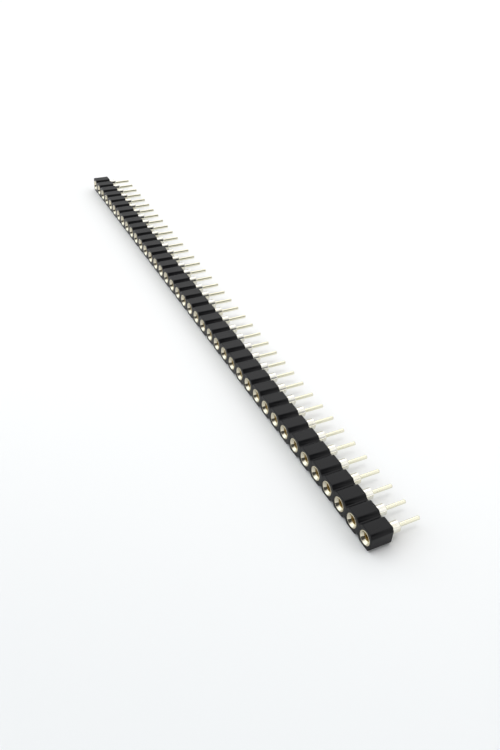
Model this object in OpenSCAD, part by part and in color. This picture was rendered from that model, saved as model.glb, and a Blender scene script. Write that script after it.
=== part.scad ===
// Female header strip: one row of turned sockets pressed into a moulded insulator.
// It lies on its side. +X runs along the row, the mouths face -Y, the solder tails point to +Y.
// The origin is on the resting surface, under the middle of the whole strip.

/* [Row] */
// Number of contacts in the row
positions = 40; // [2:1:48]
// Distance between neighbouring contacts
pitch = 2.54; // [2.1:0.01:4]

/* [Insulator] */
// Depth of the insulator along the contacts
insulator_depth = 2.8; // [2:0.05:6]
// Thickness of the insulator across the row
insulator_thickness = 2.5; // [2:0.05:4]
// Width of the flat land over each contact
land_width = 1.56; // [1:0.02:1.68]
// Depth of the groove between two lands
groove_depth = 0.39; // [0.1:0.01:0.5]
// Width of the groove's flat floor
groove_floor = 0.2; // [0.1:0.02:0.9]
// Length that each end stops short of half a pitch
end_trim = 0.2; // [0:0.01:0.3]
// Height of the bevel along the top and bottom of each end
end_bevel = 0.45; // [0.1:0.05:1]

/* [Contact sleeve] */
// Diameter of the head ring in the mouth face
head_diameter = 1.78; // [1.6:0.02:2]
// Length of the head ring
head_length = 0.8; // [0.3:0.05:1.5]
// Distance that the head ring stands proud of the insulator
head_proud = 0.03; // [0:0.01:0.2]
// Diameter of the turned body behind the head
barrel_diameter = 1.36; // [1.26:0.02:1.56]
// Distance that the barrel stands out behind the insulator
standoff = 1.4; // [0.5:0.05:3]
// Bevel on the barrel's end
barrel_bevel = 0.12; // [0.02:0.01:0.3]
// Diameter of the solder tail
tail_diameter = 0.5; // [0.3:0.02:0.7]
// Length of the solder tail
tail_length = 2.8; // [1:0.1:14]
// Bevel on the tail's tip
tail_bevel = 0.1; // [0.02:0.01:0.14]
// Diameter of the countersunk mouth at its face
mouth_diameter = 1.58; // [1.2:0.02:1.7]
// Depth of the countersink
mouth_depth = 0.32; // [0.1:0.02:0.7]
// Diameter of the bore that holds the spring clip, where it meets the countersink
bore_diameter = 1.02; // [0.8:0.02:1.24]
// Depth of the bore, measured from the mouth
bore_depth = 3.1; // [2.6:0.1:3.7]
// How much narrower the bore is at its end, so that it grips the clip
bore_taper = 0.04; // [0.02:0.01:0.1]

/* [Spring clip] */
// Thickness of the clip's sheet
clip_wall = 0.08; // [0.04:0.01:0.12]
// Distance of the clip's rim behind the countersink
clip_inset = 0.06; // [0.02:0.01:0.3]
// Length of the clip's round collar
collar_length = 0.6; // [0.3:0.05:0.9]
// Length of the clip's fingers
finger_length = 1.2; // [0.6:0.05:1.4]
// Gap left between the fingers' tips
finger_gap = 0.36; // [0.2:0.02:0.5]
// Width of the slots between the fingers
slot_width = 0.1; // [0.05:0.01:0.16]

/* [Fits] */
// Clearance around a head ring and a barrel in the insulator
sleeve_clearance = 0.01; // [0.01:0.01:0.05]
// Clearance around a clip in its bore
clip_clearance = 0.01; // [0.01:0.01:0.05]

/* [Hidden] */
$fn = 48;
// A cut runs this far past the face that it opens
overcut = 1;
// Every clip is a separate solid, and this many share one node
clips_per_group = 5;
clip_groups = ceil(positions / clips_per_group);

function two_digits(n) = n < 10 ? str("0", n) : str(n);
function sleeve_name(i) = str("contact_sleeve_", two_digits(i));
function first_clip(g) = (g - 1) * clips_per_group + 1;
function last_clip(g) = min(g * clips_per_group, positions);
function clips_name(g) = str("spring_clips_", two_digits(first_clip(g)), "_to_", two_digits(last_clip(g)));

// Distances along a contact, measured from the insulator's mouth face
mouth_y = -head_proud;
seat_y = head_length - head_proud;
barrel_end_y = insulator_depth + standoff;
tail_end_y = barrel_end_y + tail_length;
bore_y = mouth_y + mouth_depth;
bore_end_y = mouth_y + bore_depth;
collar_y = bore_y + clip_inset;
fingers_y = collar_y + collar_length;
tips_y = fingers_y + finger_length;

// Places in the strip's own frame
mouth_face_y = -(mouth_y + tail_end_y) / 2;
axis_z = insulator_thickness / 2;
end_x = positions * pitch / 2 - end_trim;

function contact_x(i) = (i - (positions + 1) / 2) * pitch;

// The tapered bore's radius at a distance along the contact
function bore_radius(y) = (bore_diameter - bore_taper * (y - bore_y) / (bore_end_y - bore_y)) / 2;

// The groove's floor on one side of a contact, from its centre line
floor_x = pitch / 2 - groove_floor / 2;
floor_z = insulator_thickness - groove_depth;

// One contact's stretch of the insulator's upper outline, from left to right
function land_points(i) = concat(
    i == 1 ? [] : [[contact_x(i) - floor_x, floor_z]],
    [[contact_x(i) - land_width / 2, insulator_thickness]],
    [[contact_x(i) + land_width / 2, insulator_thickness]],
    i == positions ? [] : [[contact_x(i) + floor_x, floor_z]]
);

upper_outline = concat(
    [[-end_x, insulator_thickness - end_bevel]],
    [for (i = [1 : positions]) each land_points(i)],
    [[end_x, insulator_thickness - end_bevel]]
);

// The underside mirrors the top
lower_outline = [
    for (k = [len(upper_outline) - 1 : -1 : 0])
        [upper_outline[k].x, insulator_thickness - upper_outline[k].y]
];

// Moves a shape drawn along +Z on to the axis of contact i, with its zero in the mouth face
module on_contact(i) {
    translate([contact_x(i), mouth_face_y, axis_z])
        rotate([-90, 0, 0])
            children();
}

// A stepped hole: a wide pocket for the head ring, then a bore for the barrel
module sleeve_hole() {
    translate([0, 0, -overcut])
        cylinder(d = head_diameter + 2 * sleeve_clearance, h = seat_y + overcut);
    translate([0, 0, -overcut])
        cylinder(d = barrel_diameter + 2 * sleeve_clearance, h = insulator_depth + 2 * overcut);
}

module insulator() {
    color([0.13, 0.13, 0.14])
        difference() {
            translate([0, mouth_face_y + insulator_depth, 0])
                rotate([90, 0, 0])
                    linear_extrude(height = insulator_depth)
                        polygon(concat(upper_outline, lower_outline));
            for (i = [1 : positions])
                on_contact(i)
                    sleeve_hole();
        }
}

// Half section of a sleeve: radius, then distance along its axis
module sleeve_section() {
    head_r = head_diameter / 2;
    barrel_r = barrel_diameter / 2;
    tail_r = tail_diameter / 2;
    bore_end_r = bore_radius(bore_end_y);
    drill_point = bore_end_r / 2;
    polygon([
        [mouth_diameter / 2, mouth_y],
        [head_r, mouth_y],
        [head_r, seat_y],
        [barrel_r, seat_y],
        [barrel_r, barrel_end_y - barrel_bevel],
        [barrel_r - barrel_bevel, barrel_end_y],
        [tail_r, barrel_end_y],
        [tail_r, tail_end_y - tail_bevel],
        [tail_r - tail_bevel, tail_end_y],
        [0, tail_end_y],
        [0, bore_end_y + drill_point],
        [bore_end_r, bore_end_y],
        [bore_radius(bore_y), bore_y]
    ]);
}

module contact_sleeve(i) {
    color([0.86, 0.78, 0.58])
        on_contact(i)
            rotate_extrude()
                sleeve_section();
}

// Half section of a clip: a straight collar that runs into fingers leaning towards the axis.
// The collar's inner end is where the bore's taper comes closest to it.
module clip_section() {
    outer_r = bore_radius(fingers_y) - clip_clearance;
    inner_r = outer_r - clip_wall;
    tip_r = finger_gap / 2;
    polygon([
        [inner_r, collar_y],
        [outer_r, collar_y],
        [outer_r, fingers_y],
        [tip_r + clip_wall, tips_y],
        [tip_r, tips_y],
        [inner_r, fingers_y]
    ]);
}

// One stamped clip: two crossed slots part its cone into four fingers
module spring_clip() {
    difference() {
        rotate_extrude()
            clip_section();
        for (turn = [45, 135])
            rotate([0, 0, turn])
                translate([-bore_diameter, -slot_width / 2, fingers_y])
                    cube([2 * bore_diameter, slot_width, finger_length + overcut]);
    }
}

module spring_clips(g) {
    color([0.83, 0.62, 0.24])
        for (i = [first_clip(g) : last_clip(g)])
            on_contact(i)
                spring_clip();
}

insulator();

for (i = [1 : positions])
    contact_sleeve(i);

for (g = [1 : clip_groups])
    spring_clips(g);
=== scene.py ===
import math
import bmesh
import bpy
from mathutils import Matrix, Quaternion, Vector


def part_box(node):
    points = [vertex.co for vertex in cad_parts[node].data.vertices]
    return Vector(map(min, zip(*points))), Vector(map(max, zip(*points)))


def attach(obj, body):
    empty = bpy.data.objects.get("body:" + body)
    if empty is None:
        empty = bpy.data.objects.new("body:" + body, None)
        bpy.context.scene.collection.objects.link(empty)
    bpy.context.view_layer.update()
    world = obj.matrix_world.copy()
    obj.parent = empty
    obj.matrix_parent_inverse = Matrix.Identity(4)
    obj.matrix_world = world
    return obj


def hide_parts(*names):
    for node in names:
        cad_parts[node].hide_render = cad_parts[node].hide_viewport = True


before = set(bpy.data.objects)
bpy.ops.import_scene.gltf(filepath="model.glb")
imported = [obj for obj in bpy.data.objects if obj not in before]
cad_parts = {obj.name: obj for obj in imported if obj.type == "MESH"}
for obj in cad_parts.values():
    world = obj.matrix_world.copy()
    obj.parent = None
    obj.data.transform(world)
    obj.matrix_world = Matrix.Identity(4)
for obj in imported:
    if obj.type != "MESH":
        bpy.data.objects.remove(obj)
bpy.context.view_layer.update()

mm = 0.001
tiny = 0.0001 * mm
scene = bpy.context.scene

# places and sizes that the frame gives
sleeveNames = sorted(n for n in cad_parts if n.startswith("contact_sleeve_"))
clipNames = sorted(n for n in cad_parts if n.startswith("spring_clips_"))
insulatorLow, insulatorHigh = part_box("insulator")
firstLow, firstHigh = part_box(sleeveNames[0])
lastLow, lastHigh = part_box(sleeveNames[-1])
contactCount = len(sleeveNames)
firstX = (firstLow.x + firstHigh.x) / 2
lastX = (lastLow.x + lastHigh.x) / 2
pitch = (lastX - firstX) / (contactCount - 1)
axisZ = (firstLow.z + firstHigh.z) / 2
faceY = insulatorLow.y   # the insulator's mouth face
mouthY = firstLow.y      # the sleeves' mouths, a hair proud of that face
headRadius = (firstHigh.x - firstLow.x) / 2
sleeveLength = firstHigh.y - firstLow.y
print("frame:", contactCount, "contacts, pitch", round(pitch / mm, 3), "mm")


class Value:
    # a node's output, so that shader maths can be written as an expression
    def __init__(self, board, socket):
        self.board = board
        self.socket = socket

    def __add__(self, other):
        return self.board.maths("ADD", self, other)

    def __sub__(self, other):
        return self.board.maths("SUBTRACT", self, other)

    def __rsub__(self, other):
        return self.board.maths("SUBTRACT", other, self)

    def __mul__(self, other):
        return self.board.maths("MULTIPLY", self, other)

    __radd__ = __add__
    __rmul__ = __mul__


class Board:
    # one node tree and the nodes that are often added to it
    def __init__(self, tree):
        self.tree = tree
        tree.nodes.clear()

    def node(self, kind, settings=None, sockets=None, out=0):
        made = self.tree.nodes.new(kind)
        for name, value in (settings or {}).items():
            setattr(made, name, value)
        for name, value in (sockets or {}).items():
            if isinstance(value, Value):
                self.tree.links.new(value.socket, made.inputs[name])
            else:
                made.inputs[name].default_value = value
        return Value(self, made.outputs[out]) if made.outputs else None

    def maths(self, operation, a, b=0.0):
        return self.node("ShaderNodeMath", {"operation": operation}, {0: a, 1: b})

    def measure(self, operation, a, b=(0, 0, 0)):
        return self.node("ShaderNodeVectorMath", {"operation": operation}, {0: a, 1: b}, "Value")

    def smooth(self, value, low, high, toLow=0.0, toHigh=1.0):
        ends = {"From Min": low, "From Max": high, "To Min": toLow, "To Max": toHigh}
        return self.node("ShaderNodeMapRange", {"interpolation_type": "SMOOTHSTEP"}, {"Value": value, **ends})

    def mixColours(self, share, a, b):
        return self.node("ShaderNodeMix", {"data_type": "RGBA"}, {0: share, 6: a, 7: b}, 2)

    def place(self):
        return self.node("ShaderNodeTexCoord", None, None, "Object")

    def attribute(self, name):
        return self.node("ShaderNodeAttribute", {"attribute_name": name}, None, "Fac")

    def noise(self, place, size, detail):
        return self.node("ShaderNodeTexNoise", None, {"Vector": place, "Scale": 1 / size, "Detail": detail})

    def bump(self, height, depth, under=None):
        sockets = {"Height": height, "Distance": depth, "Strength": 1.0}
        if under:
            sockets["Normal"] = under
        return self.node("ShaderNodeBump", None, sockets)


def newMaterial(name):
    made = bpy.data.materials.new(name)
    made.use_nodes = True
    return made, Board(made.node_tree)


def finishSurface(board, sockets):
    surface = board.node("ShaderNodeBsdfPrincipled", None, sockets)
    board.node("ShaderNodeOutputMaterial", None, {"Surface": surface})


def meshFrom(name, bm, material=None):
    mesh = bpy.data.meshes.new(name)
    for face in bm.faces:
        face.smooth = True
    bm.to_mesh(mesh)
    bm.free()
    if material:
        mesh.materials.append(material)
    return mesh


def newObject(name, data):
    made = bpy.data.objects.new(name, data)
    scene.collection.objects.link(made)
    return made


def roundCorners(corners, steps):
    # a corner is (radius from the axis, distance along it, rounding); a rounded one gives steps + 1 points
    made = []
    for k, (r, y, rounding) in enumerate(corners):
        here = Vector((r, y))
        if not rounding:
            made.append(here)
            continue
        before = (Vector(corners[k - 1][:2]) - here).normalized()
        after = (Vector(corners[k + 1][:2]) - here).normalized()
        half = before.angle(after) / 2
        reach = rounding / math.tan(half)
        centre = here + (before + after).normalized() * (rounding / math.sin(half))
        start = here + before * reach - centre
        end = here + after * reach - centre
        turn = start.angle_signed(end)
        for n in range(steps + 1):
            angle = -turn * n / steps
            c = math.cos(angle)
            s = math.sin(angle)
            made.append(centre + Vector((c * start.x - s * start.y, s * start.x + c * start.y)))
    return made


def objectGeometry(board, source):
    return board.node("GeometryNodeObjectInfo", None, {"Object": source}, "Geometry")


def rowTree(name, ends=False, weld=0.0):
    # Geometry Nodes that repeat a piece along the row, with other copies at the row's ends if they are given
    tree = bpy.data.node_groups.new(name, "GeometryNodeTree")
    board = Board(tree)
    kinds = {
        "Geometry": "Geometry",
        "Count": "Int",
        "Start": "Vector",
        "Step": "Vector",
        "Material": "Material",
        "Seed": "Int",
    }
    if ends:
        kinds.update({"First": "Object", "Last": "Object"})
    for label, kind in kinds.items():
        tree.interface.new_socket(label, in_out="INPUT", socket_type="NodeSocket" + kind)
    tree.interface.new_socket("Geometry", in_out="OUTPUT", socket_type="NodeSocketGeometry")
    given = board.node("NodeGroupInput").socket.node

    def take(label):
        return Value(board, given.outputs[label])

    line = board.node("GeometryNodeMeshLine", {"mode": "OFFSET"},
                      {"Count": take("Count"), "Start Location": take("Start"), "Offset": take("Step")})
    sockets = {"Points": line, "Instance": take("Geometry")}
    if ends:
        # the pick is 0 at the first point, 1 between the ends and 2 at the last point
        index = board.node("GeometryNodeInputIndex")
        last = board.maths("SUBTRACT", take("Count"), 1.0)
        pick = board.maths("GREATER_THAN", index, 0.5) + board.maths("GREATER_THAN", index, last - 0.5)
        join = board.node("GeometryNodeGeometryToInstance")
        firstCopy = objectGeometry(board, take("First"))
        lastCopy = objectGeometry(board, take("Last"))
        for source in (lastCopy, take("Geometry"), firstCopy):   # the join lists its newest link first
            tree.links.new(source.socket, join.socket.node.inputs[0])
        sockets["Instance"] = join
        sockets["Pick Instance"] = True
        sockets["Instance Index"] = pick
    copies = board.node("GeometryNodeInstanceOnPoints", None, sockets)
    lot = board.node("FunctionNodeRandomValue", {"data_type": "FLOAT"}, {"Seed": take("Seed")}, 1)
    copies = board.node("GeometryNodeStoreNamedAttribute", {"data_type": "FLOAT", "domain": "INSTANCE"},
                        {"Geometry": copies, "Name": "lot", "Value": lot})
    real = board.node("GeometryNodeRealizeInstances", None, {"Geometry": copies})
    if weld:
        real = board.node("GeometryNodeMergeByDistance", None, {"Geometry": real, "Distance": weld})
    made = board.node("GeometryNodeSetMaterial", None, {"Geometry": real, "Material": take("Material")})
    board.node("NodeGroupOutput", None, {0: made})
    return tree


def repeatAlongRow(piece, tree, startY, material, seed, ends=None):
    row = piece.modifiers.new("row", "NODES")
    row.node_group = tree
    sockets = {item.name: item.identifier for item in tree.interface.items_tree if item.in_out == "INPUT"}
    values = {
        "Count": contactCount,
        "Start": (firstX, startY, axisZ),
        "Step": (pitch, 0, 0),
        "Material": material,
        "Seed": seed,
        **(ends or {}),
    }
    for label, value in values.items():
        row[sockets[label]] = value


def soften(piece, v):
    # rounds the edges that carry a bevel weight, or those sharper than an angle if one is given
    bevel = piece.modifiers.new("soften", "BEVEL")
    bevel.width = v["edgeRounding"]
    bevel.segments = v["roundingSteps"]
    bevel.limit_method = "ANGLE" if "sharpAngle" in v else "WEIGHT"
    if "sharpAngle" in v:
        bevel.angle_limit = math.radians(v["sharpAngle"])


def makePlain(piece, name):
    # large faces decide the normals, then the modifiers' result becomes an ordinary mesh on its own object
    even = piece.modifiers.new("even", "WEIGHTED_NORMAL")
    even.keep_sharp = True
    even.weight = 100
    shown = piece.evaluated_get(bpy.context.evaluated_depsgraph_get())
    mesh = bpy.data.meshes.new_from_object(shown)
    mesh.name = name
    bpy.data.objects.remove(piece)
    print("piece:", name, len(mesh.polygons), "faces")
    return newObject(name, mesh)


plastic = {
    "deep": (0.0028, 0.0028, 0.0036, 1),
    "worn": (0.0050, 0.0050, 0.0060, 1),
    "wornFrom": 0.35,          # where in the noise the deep colour starts to turn into the worn one
    "wornTo": 0.7,
    "roughness": 0.30,
    "specular": 0.17,
    "grain": 0.05 * mm,        # size of the moulding's fine texture
    "grainDepth": 0.0015 * mm,
    "grainColour": 0.3,        # its share in the colour and in the roughness
    "grainRoughness": 0.1,
    "wave": 1.3 * mm,          # size of its slow unevenness
    "waveDepth": 0.004 * mm,
    "waveColour": 0.7,
    "waveRoughness": 0.15,
}


def plasticMaterial(v):
    material, board = newMaterial("blackPlastic")
    place = board.place()
    grain = board.noise(place, v["grain"], 3)
    wave = board.noise(place, v["wave"], 2)
    shade = board.smooth(wave * v["waveColour"] + grain * v["grainColour"], v["wornFrom"], v["wornTo"])
    unevenness = (wave - 0.5) * v["waveRoughness"] + (grain - 0.5) * v["grainRoughness"]
    slow = board.bump(wave, v["waveDepth"])
    finishSurface(board, {
        "Base Color": board.mixColours(shade, v["deep"], v["worn"]),
        "Roughness": v["roughness"] + unevenness,
        "Specular IOR Level": v["specular"],
        "Normal": board.bump(grain, v["grainDepth"], slow),
    })
    return material


plating = {
    "pale": (0.78, 0.77, 0.71, 1),        # head ring and barrel
    "warm": (0.77, 0.74, 0.62, 1),        # and their warmer patches
    "mouth": (0.71, 0.67, 0.555, 1),      # countersink and rim: their polished finish, darkened as painted shade
    # tails: partly their duller finish, partly painted shade that stands in for the dark they mirror
    "tail": (0.745, 0.725, 0.58, 1),
    "boreShade": (0.46, 0.35, 0.13, 1),      # bore: a warm gold, darkened as painted shade of the deep hole
    "warmFrom": 0.45,          # where in the noise the pale colour starts to turn warm
    "warmTo": 0.95,
    "lotWarmth": 0.25,         # how far one sleeve may be warmer than another
    "cloud": 0.9 * mm,         # size of the patches
    "cloudRoughness": 0.1,
    "polished": 0.09,          # roughness in the countersink and on its rim
    "satin": 0.15,             # and on the rest
    "ring": 0.02 * mm,         # width of the fine turning rings
    "ringDepth": 0.0006 * mm,
    "ringRoughness": 0.06,
    "lotShift": 91.0,          # moves the rings from one sleeve to the next
}


def platingMaterial(v):
    # the lathed mesh says how far along its section each point lies, in millimetres, and on which part
    material, board = newMaterial("palePlating")
    polished = board.attribute("polished")
    lot = board.attribute("lot")
    turned = board.attribute("along") * (mm / v["ring"]) + lot * v["lotShift"]
    rings = board.node("ShaderNodeTexNoise", {"noise_dimensions": "1D"},
                       {"W": turned, "Scale": 1.0, "Detail": 2.0})
    cloud = board.noise(board.place(), v["cloud"], 3)
    warmth = board.smooth(cloud + lot * v["lotWarmth"], v["warmFrom"], v["warmTo"])
    colour = board.mixColours(warmth, v["pale"], v["warm"])
    # the tails get their duller colour, which is partly painted shade
    colour = board.mixColours(board.attribute("tail"), colour, v["tail"])
    # the countersink and rim get their darker colour, which is partly painted shade
    colour = board.mixColours(polished, colour, v["mouth"])
    # the bore gets its dark gold, which is painted shade, and so do part of its edge and the rim
    colour = board.mixColours(board.attribute("boreShade"), colour, v["boreShade"])
    unevenness = (cloud - 0.5) * v["cloudRoughness"] + (rings - 0.5) * v["ringRoughness"]
    finishSurface(board, {
        "Base Color": colour,
        "Metallic": 1.0,
        "Roughness": polished * (v["polished"] - v["satin"]) + v["satin"] + unevenness,
        "Normal": board.bump(rings, v["ringDepth"]),
    })
    return material


spring = {
    # both colours are far darker than bright gold: painted shade of the clip deep in the bore; the brown
    # patches are spread at random
    "gold": (0.48, 0.36, 0.13, 1),
    "brown": (0.30, 0.20, 0.06, 1),
    "brownFrom": 0.45,         # where in the noise the gold starts to turn brown
    "brownTo": 0.8,
    "cloud": 0.3 * mm,         # size of the brown patches
    "cloudDepth": 0.002 * mm,
    "cloudRoughness": 0.15,
    "roughness": 0.26,
}


def springMaterial(v):
    material, board = newMaterial("springGold")
    cloud = board.noise(board.place(), v["cloud"], 3)
    brownness = board.smooth(cloud, v["brownFrom"], v["brownTo"])
    finishSurface(board, {
        "Base Color": board.mixColours(brownness, v["gold"], v["brown"]),
        "Metallic": 1.0,
        "Roughness": v["roughness"] + (cloud - 0.5) * v["cloudRoughness"],
        "Normal": board.bump(cloud, v["cloudDepth"]),
    })
    return material


blackPlastic = plasticMaterial(plastic)
palePlating = platingMaterial(plating)
springGold = springMaterial(spring)
print("finishes made")


insulator = {
    "landWidth": 1.56 * mm,
    "grooveDepth": 0.39 * mm,
    "grooveFloor": 0.2 * mm,
    "endBevel": 0.45 * mm,
    "clearance": 0.01 * mm,
    "headLength": 0.8 * mm,
    "barrelRadius": 0.68 * mm,
    "meshStep": 0.24 * mm,     # rough length of one face along the outline
    "edgeRounding": 0.06 * mm,
    "holeRounding": 0.02 * mm,
    "roundingSteps": 3,
    "weld": 0.001 * mm,        # cells that touch are joined within this distance
    "seed": 3,
}


def atCellBorder(point):
    return abs(abs(point.x) - pitch / 2) < tiny


def outlineSide(v, ended):
    # the right half of a cell's outline, from its bottom to its top, about the contact's axis
    top = (insulatorHigh.z - insulatorLow.z) / 2
    land = v["landWidth"] / 2
    if ended:
        side = [(insulatorHigh.x - lastX, top - v["endBevel"])]
    else:
        floor = top - v["grooveDepth"]
        side = [(pitch / 2, floor), (pitch / 2 - v["grooveFloor"] / 2, floor)]
    upper = side + [(land, top)]
    return [(x, -z) for x, z in reversed(upper)] + upper


def cellMesh(name, v, leftEnded=False, rightEnded=False):
    # one contact's stretch of the insulator with its stepped hole, open where the next cell joins it
    left = [(-x, -z) for x, z in outlineSide(v, leftEnded)]
    corners = outlineSide(v, rightEnded) + left
    outline = []
    sharp = []        # does a point lie on a corner of the outline
    joined = []       # is the stretch after a point shared with the next cell
    for k, corner in enumerate(corners):
        a = Vector(corner)
        b = Vector(corners[(k + 1) % len(corners)])
        parts = max(1, round((b - a).length / v["meshStep"]))
        for n in range(parts):
            outline.append(a.lerp(b, n / parts))
            sharp.append(n == 0 and not atCellBorder(a))
            joined.append(atCellBorder(a) and abs(a.x - b.x) < tiny)
    bm = bmesh.new()
    weight = bm.edges.layers.float.new("bevel_weight_edge")

    def outlineRing(y):
        return [bm.verts.new((p.x, y, p.y)) for p in outline]

    def holeRing(radius, y):
        # the outline's points, moved on to a circle about the contact
        circle = [p.normalized() * radius for p in outline]
        return [bm.verts.new((p.x, y, p.y)) for p in circle]

    wide = headRadius + v["clearance"]
    narrow = v["barrelRadius"] + v["clearance"]
    depth = insulatorHigh.y - insulatorLow.y
    seat = v["headLength"] - (faceY - mouthY)
    front = outlineRing(0)
    hole = [holeRing(wide, 0), holeRing(wide, seat), holeRing(narrow, seat), holeRing(narrow, depth)]
    back = outlineRing(depth)
    count = len(outline)
    for one, two in zip([front, *hole, back], [*hole, back, front]):
        for k in range(count):
            if one is back and joined[k]:
                continue
            n = (k + 1) % count
            bm.faces.new((one[k], one[n], two[n], two[k]))
    for k in range(count):
        n = (k + 1) % count
        if not joined[k]:
            for ring in (front, back):
                bm.edges.get((ring[k], ring[n]))[weight] = 1.0
        for ring in (hole[0], hole[-1]):
            bm.edges.get((ring[k], ring[n]))[weight] = v["holeRounding"] / v["edgeRounding"]
        if sharp[k]:
            bm.edges.get((front[k], back[k]))[weight] = 1.0
    bmesh.ops.recalc_face_normals(bm, faces=bm.faces)
    return meshFrom(name, bm)


def makeInsulator(v):
    piece = newObject("insulatorCells", cellMesh("middleCell", v))
    ends = {
        "First": newObject("firstCell", cellMesh("firstCell", v, leftEnded=True)),
        "Last": newObject("lastCell", cellMesh("lastCell", v, rightEnded=True)),
    }
    tree = rowTree("insulatorRow", ends=True, weld=v["weld"])
    repeatAlongRow(piece, tree, faceY, blackPlastic, v["seed"], ends)
    soften(piece, v)
    made = makePlain(piece, "mouldedInsulator")
    for spare in ends.values():
        bpy.data.objects.remove(spare)
    return made


sleeve = {
    "mouthRadius": 0.79 * mm,
    "mouthDepth": 0.32 * mm,
    "boreRadius": 0.51 * mm,
    "boreEndRadius": 0.49 * mm,
    "boreDepth": 3.1 * mm,
    "headLength": 0.8 * mm,
    "barrelRadius": 0.68 * mm,
    "barrelEnd": 4.23 * mm,
    "barrelBevel": 0.12 * mm,
    "tailRadius": 0.25 * mm,
    "fineRounding": 0.02 * mm,
    "edgeRounding": 0.03 * mm,
    "softRounding": 0.05 * mm,
    "tipRounding": 0.1 * mm,
    "roundingSteps": 3,
    "segments": 56,
    "edgeBoreShade": 0.25,          # how much of the bore's dark colour, painted shade, is put on the bore's edge
    "rimBoreShade": 0.35,           # and on the rim, which it darkens as painted shade
    "longWall": 0.15 * mm,     # a straight stretch of the outside that is longer than this is a wall
    "seed": 11,
}


def sleeveSection(v):
    # from the end of the bore along its wall to the mouth, and back along the outside to the tail's tip
    barrel = v["barrelRadius"]
    barrelEnd = v["barrelEnd"]
    bevel = v["barrelBevel"]
    fine = v["fineRounding"]
    edge = v["edgeRounding"]
    soft = v["softRounding"]
    return roundCorners([
        (0, v["boreDepth"] + v["boreEndRadius"] / 2, 0),
        (v["boreEndRadius"], v["boreDepth"], fine),
        (v["boreRadius"], v["mouthDepth"], soft),
        (v["mouthRadius"], 0, fine),
        (headRadius, 0, edge),
        (headRadius, v["headLength"], edge),
        (barrel, v["headLength"], fine),
        (barrel, barrelEnd - bevel, soft),
        (barrel - bevel, barrelEnd, soft),
        (v["tailRadius"], barrelEnd, edge),
        (v["tailRadius"], sleeveLength, v["tipRounding"]),
        (0, sleeveLength, 0),
    ], v["roundingSteps"])


def sectionParts(section, v):
    # the number of the section's point at which each part starts
    perCorner = v["roundingSteps"] + 1
    half = perCorner // 2
    return {
        "edge": 1 + perCorner + half,
        "countersink": 1 + 2 * perCorner,
        "rim": 1 + 2 * perCorner + half,
        "outside": 1 + 4 * perCorner,
        "tail": len(section) - 1 - 2 * perCorner,
    }


# how much of the bore's painted shade each point of the section gets
def boreShadeShare(k, parts, v):
    if k < parts["edge"]:
        return 1.0
    if k < parts["countersink"]:
        return v["edgeBoreShade"]
    return v["rimBoreShade"] if parts["rim"] <= k < parts["outside"] else 0.0


def sharpenWallEnds(bm, section, rings, start, longWall):
    # the outside's long walls end in sharp rings, so that they are shaded straight up to their ends
    for k in range(start, len(section) - 1):
        if (section[k + 1] - section[k]).length <= longWall:
            continue
        for ring in rings[k:k + 2]:
            if len(ring) > 1:
                for n in range(len(ring)):
                    bm.edges.get((ring[n], ring[n - 1])).smooth = False


def sleeveMesh(name, v):
    section = sleeveSection(v)
    parts = sectionParts(section, v)
    segments = v["segments"]
    bm = bmesh.new()
    layers = {label: bm.verts.layers.float.new(label) for label in ("along", "boreShade", "polished", "tail")}
    travelled = 0.0
    rings = []
    for k, p in enumerate(section):
        if k:
            travelled += (p - section[k - 1]).length
        values = {
            "along": travelled / mm,
            "boreShade": boreShadeShare(k, parts, v),
            "polished": 1.0 if k < parts["outside"] else 0.0,
            "tail": 1.0 if k >= parts["tail"] else 0.0,
        }
        ring = []
        for n in range(segments if p.x > tiny else 1):
            angle = 2 * math.pi * n / segments
            vert = bm.verts.new((p.x * math.cos(angle), p.y, p.x * math.sin(angle)))
            for label, value in values.items():
                vert[layers[label]] = value
            ring.append(vert)
        rings.append(ring)
    for one, two in zip(rings, rings[1:]):
        for n in range(segments):
            m = (n + 1) % segments
            corners = [one[n % len(one)], one[m % len(one)], two[m % len(two)], two[n % len(two)]]
            bm.faces.new(list(dict.fromkeys(corners)))
    sharpenWallEnds(bm, section, rings, parts["outside"], v["longWall"])
    bmesh.ops.recalc_face_normals(bm, faces=bm.faces)
    return meshFrom(name, bm)


def makeSleeves(v):
    piece = newObject("sleeveTemplate", sleeveMesh("sleeveTemplate", v))
    repeatAlongRow(piece, rowTree("sleeveRow"), mouthY, palePlating, v["seed"])
    return makePlain(piece, "turnedSleeves")


clip = {
    "outerRadius": 0.4951 * mm,
    "wall": 0.08 * mm,
    "start": 0.38 * mm,        # from the mouth to the collar's rim
    "collarLength": 0.6 * mm,
    "fingerLength": 1.2 * mm,
    "tipRadius": 0.18 * mm,
    "slotWidth": 0.1 * mm,
    "fingers": 4,
    "columns": 8,              # faces across a finger
    "fingerRows": 6,           # and along it
    "weld": 0.0005 * mm,
    "edgeRounding": 0.012 * mm,
    "roundingSteps": 2,
    "sharpAngle": 50,
    "seed": 5,
}


def clipRows(v):
    # rows across one finger: inner and outer radius, distance from the mouth, places across it, is it slotted
    inner = v["outerRadius"] - v["wall"]
    quarter = 2 * math.pi / v["fingers"]
    fingersStart = v["start"] + v["collarLength"]
    spread = [n / v["columns"] for n in range(v["columns"] + 1)]
    edge = math.asin(v["slotWidth"] / 2 / inner) / quarter
    shares = [0.0] + [edge + (1 - 2 * edge) * share for share in spread] + [1.0]
    rows = [(inner, v["outerRadius"], y, shares, False) for y in (v["start"], fingersStart)]
    for k in range(1, v["fingerRows"] + 1):
        part = k / v["fingerRows"]
        lean = (inner - v["tipRadius"]) * part
        y = fingersStart + v["fingerLength"] * part
        rows.append((inner - lean, v["outerRadius"] - lean, y, spread, True))
    return rows


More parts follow.
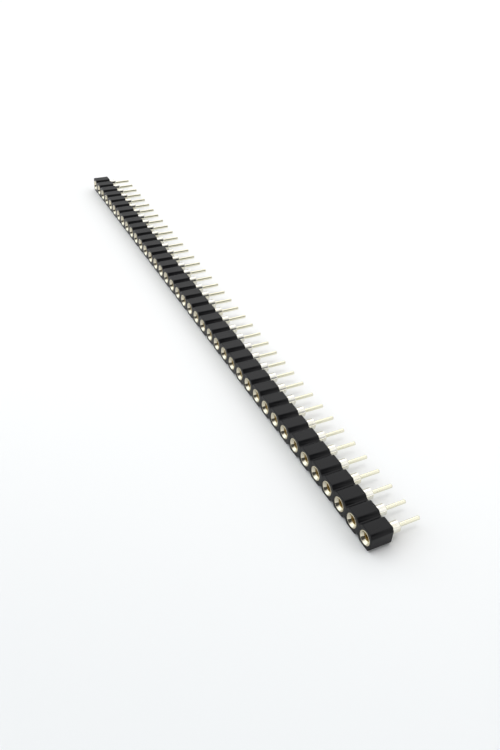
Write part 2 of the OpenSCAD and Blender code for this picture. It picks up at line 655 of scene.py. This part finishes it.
def clipMesh(name, v):
    bm = bmesh.new()
    rows = clipRows(v)
    quarter = 2 * math.pi / v["fingers"]
    end = len(rows) - 1
    lastColumn = v["columns"] + 2     # the collar has a column more on either side than the fingers
    for finger in range(v["fingers"]):
        at = {}       # the corners of this quarter, by row, column and wall
        for r, (low, high, y, places, slotted) in enumerate(rows):
            for c, share in enumerate(places, 1 if slotted else 0):
                for wall, radius in enumerate((low, high)):
                    gap = math.asin(v["slotWidth"] / 2 / radius) if slotted else 0
                    angle = (share - 0.5) * (quarter - 2 * gap) + finger * quarter
                    at[r, c, wall] = bm.verts.new((radius * math.cos(angle), y, radius * math.sin(angle)))

        def addFace(*corners):
            bm.faces.new([at[corner] for corner in corners])

        for r in range(end):
            for c in range(0, lastColumn) if r == 0 else range(1, lastColumn - 1):
                for wall in (0, 1):
                    addFace((r, c, wall), (r, c + 1, wall), (r + 1, c + 1, wall), (r + 1, c, wall))
            if r > 0:
                for c in (1, lastColumn - 1):
                    addFace((r, c, 0), (r, c, 1), (r + 1, c, 1), (r + 1, c, 0))
        for c in range(lastColumn):
            addFace((0, c, 0), (0, c + 1, 0), (0, c + 1, 1), (0, c, 1))
        for c in (0, lastColumn - 1):
            addFace((1, c, 0), (1, c + 1, 0), (1, c + 1, 1), (1, c, 1))
        for c in range(1, lastColumn - 1):
            addFace((end, c, 0), (end, c + 1, 0), (end, c + 1, 1), (end, c, 1))
    bmesh.ops.remove_doubles(bm, verts=bm.verts, dist=v["weld"])
    bmesh.ops.recalc_face_normals(bm, faces=bm.faces)
    return meshFrom(name, bm)


def makeClips(v):
    piece = newObject("clipTemplate", clipMesh("clipTemplate", v))
    repeatAlongRow(piece, rowTree("clipRow"), mouthY, springGold, v["seed"])
    soften(piece, v)
    return makePlain(piece, "springClips")


insulatorPiece = makeInsulator(insulator)
sleevePiece = makeSleeves(sleeve)
clipPiece = makeClips(clip)
for piece, slot, nodes in ((insulatorPiece, "insulator", ["insulator"]),
                           (sleevePiece, "sleeve", sleeveNames),
                           (clipPiece, "clip", clipNames)):
    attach(piece, "root")
    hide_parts(*nodes)


view = {
    "azimuth": 61.69,
    "elevation": 37.23,
    "roll": 3.69,
    "distance": 93.58 * mm,
    "lens": 33.33,
    "sensor": 36,
    "nearest": 1 * mm,
    "farthest": 20,
    "aim": Vector((19.83 * mm, mouthY + 1.24 * mm, axisZ)),
}


def makeCamera(v):
    azimuth = math.radians(v["azimuth"])
    elevation = math.radians(v["elevation"])
    level = math.cos(elevation)
    back = Vector((math.sin(azimuth) * level, -math.cos(azimuth) * level, math.sin(elevation)))
    data = bpy.data.cameras.new("camera")
    data.lens = v["lens"]
    data.sensor_width = v["sensor"]
    data.clip_start = v["nearest"]
    data.clip_end = v["farthest"]
    made = newObject("camera", data)
    made.rotation_mode = "QUATERNION"
    made.location = v["aim"] + back * v["distance"]
    roll = Quaternion((0, 0, 1), math.radians(v["roll"]))
    made.rotation_quaternion = (-back).to_track_quat("-Z", "Y") @ roll
    scene.camera = made


# the studio: a pale floor in a bright room. A side is a direction from the strip, its reach is in degrees
# about that direction, and the edge is how softly it ends. The lamps' angles are their widths in degrees
studio = {
    "floorSize": 3.0,
    "floorDrop": 0.01 * mm,
    "floorFar": (0.93, 0.93, 0.93, 1),
    "floorNearShade": (0.775, 0.79, 0.80, 1),  # the floor's colour in front of the near end, darker and bluish: painted shade
    "floorNearSide": (0.8, -0.6, 0),
    "floorNearFull": 0.09,
    "floorNearFade": 0.15,     # from here on it fades back to the far colour
    "floorNearEnd": 0.5,
    "wallLevel": 0.55,         # the room's brightness near the horizon
    "ceilingLevel": 1.20,      # and overhead
    "ceilingHeight": 0.9,
    "rearSide": (0.70, 0.60, 0.35),       # the bright part that the near tails and barrels mirror
    "rearLevel": 1.35,
    "rearReach": 35,
    "rearEdge": 8,
    "openSide": (-0.71, -0.60, 0.38),     # the bluish opening that the mouths mirror
    "openLevel": 1.8,
    "openReach": 30,
    "openEdge": 8,
    "openColour": (0.90, 0.97, 1.0, 1),
    "brightSide": (-0.62, 0.43, 0.655),   # the brightest part, which the insulator's lands mirror
    "brightLevel": 1.95,
    "brightReach": 15,
    "brightEdge": 12,
    "darkSide": (0.56, -0.77, 0.31),      # the dark end of the room, low down
    "darkLevel": 0.08,
    "darkReach": 33,
    "darkEdge": 8,
    "darkHeight": 0.78,
    "darkHeightEdge": 0.1,
    "glowSide": (0.866, 0.490, 0.105),    # a low bright strip that the end's bevel mirrors
    "glowLevel": 1.2,
    "glowReach": 10,
    "glowEdge": 4,
    "panelAzimuth": 13,        # of the dark upright panel that most tails mirror, in degrees from the row
    "panelLevel": 0.05,
    "panelHalfWidth": 0.265,
    "panelSoftness": 0.05,
    "panelBottom": 0.15,       # height of its lower edge, as the sine of the elevation
    "panelFadeFrom": 0.15,     # it stands at one end of the row only
    "panelFadeTo": 0.3,
    "lampColour": (1.0, 0.985, 0.96),
    "keySide": (-0.20, 0.85, 0.60),       # a wide weak lamp
    "keyStrength": 0.08,
    "keyAngle": 100,
    "spotSide": (-0.10, 0.03, 1.0),       # a small lamp overhead, which draws the shadows under the tails
    "spotStrength": 0.32,
    "spotAngle": 16,
}


def floorMaterial(v):
    material, board = newMaterial("paleFloor")
    place = board.place()
    # in front of the near end the floor is painted darker and bluish, as painted shade
    nearShade = board.smooth(board.measure("DOT_PRODUCT", place, v["floorNearSide"]), 0.0, v["floorNearFull"])
    nearShade = nearShade * board.smooth(board.measure("LENGTH", place), v["floorNearEnd"], v["floorNearFade"])
    colour = board.mixColours(nearShade, v["floorFar"], v["floorNearShade"])
    surface = board.node("ShaderNodeBsdfDiffuse", None, {"Color": colour})
    board.node("ShaderNodeOutputMaterial", None, {"Surface": surface})
    return material


def makeFloor(v):
    bm = bmesh.new()
    bmesh.ops.create_grid(bm, x_segments=1, y_segments=1, size=v["floorSize"] / 2)
    floor = newObject("floor", meshFrom("floor", bm, floorMaterial(v)))
    floor.location.z = -v["floorDrop"]


def blend(level, share, to):
    return level + share * (to - level)


def makeRoom(v):
    # the metal mirrors this room; the camera itself sees it as plain white
    white = (1.0, 1.0, 1.0, 1)
    world = bpy.data.worlds.new("room")
    scene.world = world
    world.use_nodes = True
    board = Board(world.node_tree)
    way = board.node("ShaderNodeTexCoord", None, None, "Generated")
    height = board.node("ShaderNodeSeparateXYZ", None, {"Vector": way}, "Z")

    def towards(side):
        return board.measure("DOT_PRODUCT", way, Vector(side).normalized())

    def cone(name):
        outer = math.cos(math.radians(v[name + "Reach"] + v[name + "Edge"]))
        inner = math.cos(math.radians(v[name + "Reach"] - v[name + "Edge"]))
        return board.smooth(towards(v[name + "Side"]), outer, inner)

    level = board.smooth(height, 0.0, v["ceilingHeight"], v["wallLevel"], v["ceilingLevel"])
    level = blend(level, cone("rear"), v["rearLevel"])
    opening = cone("open")
    level = blend(level, opening, v["openLevel"])
    level = blend(level, cone("bright"), v["brightLevel"])
    low = board.smooth(height, v["darkHeight"], v["darkHeight"] - v["darkHeightEdge"])
    level = blend(level, cone("dark") * low, v["darkLevel"])

    turn = math.radians(v["panelAzimuth"])
    half = v["panelHalfWidth"]
    soft = v["panelSoftness"]
    along = towards((math.cos(turn), math.sin(turn), 0))
    across = board.maths("ABSOLUTE", towards((-math.sin(turn), math.cos(turn), 0)))
    panel = board.smooth(across, half + soft, half - soft)
    panel = panel * board.smooth(along, v["panelFadeFrom"], v["panelFadeTo"])
    panel = panel * board.smooth(height, v["panelBottom"] - soft, v["panelBottom"] + soft)
    level = blend(level, panel, v["panelLevel"])
    level = blend(level, cone("glow"), v["glowLevel"])

    seen = board.node("ShaderNodeLightPath", None, None, "Is Camera Ray")
    colour = board.mixColours(opening, white, v["openColour"])
    colour = board.mixColours(seen, colour, white)
    light = board.node("ShaderNodeBackground", None, {"Color": colour, "Strength": blend(level, seen, 1.0)})
    board.node("ShaderNodeOutputWorld", None, {"Surface": light})


def makeLamp(name, v):
    # a lamp only gives light and shadows; the metal doesn't mirror it
    data = bpy.data.lights.new(name, "SUN")
    data.energy = v[name + "Strength"]
    data.angle = math.radians(v[name + "Angle"])
    data.color = v["lampColour"]
    lamp = newObject(name, data)
    lamp.rotation_mode = "QUATERNION"
    lamp.rotation_quaternion = Vector(v[name + "Side"]).to_track_quat("Z", "Y")
    lamp.visible_glossy = False


makeCamera(view)
makeFloor(studio)
makeRoom(studio)
makeLamp("key", studio)
makeLamp("spot", studio)
scene.view_settings.view_transform = "Standard"
print("camera, floor and light made")
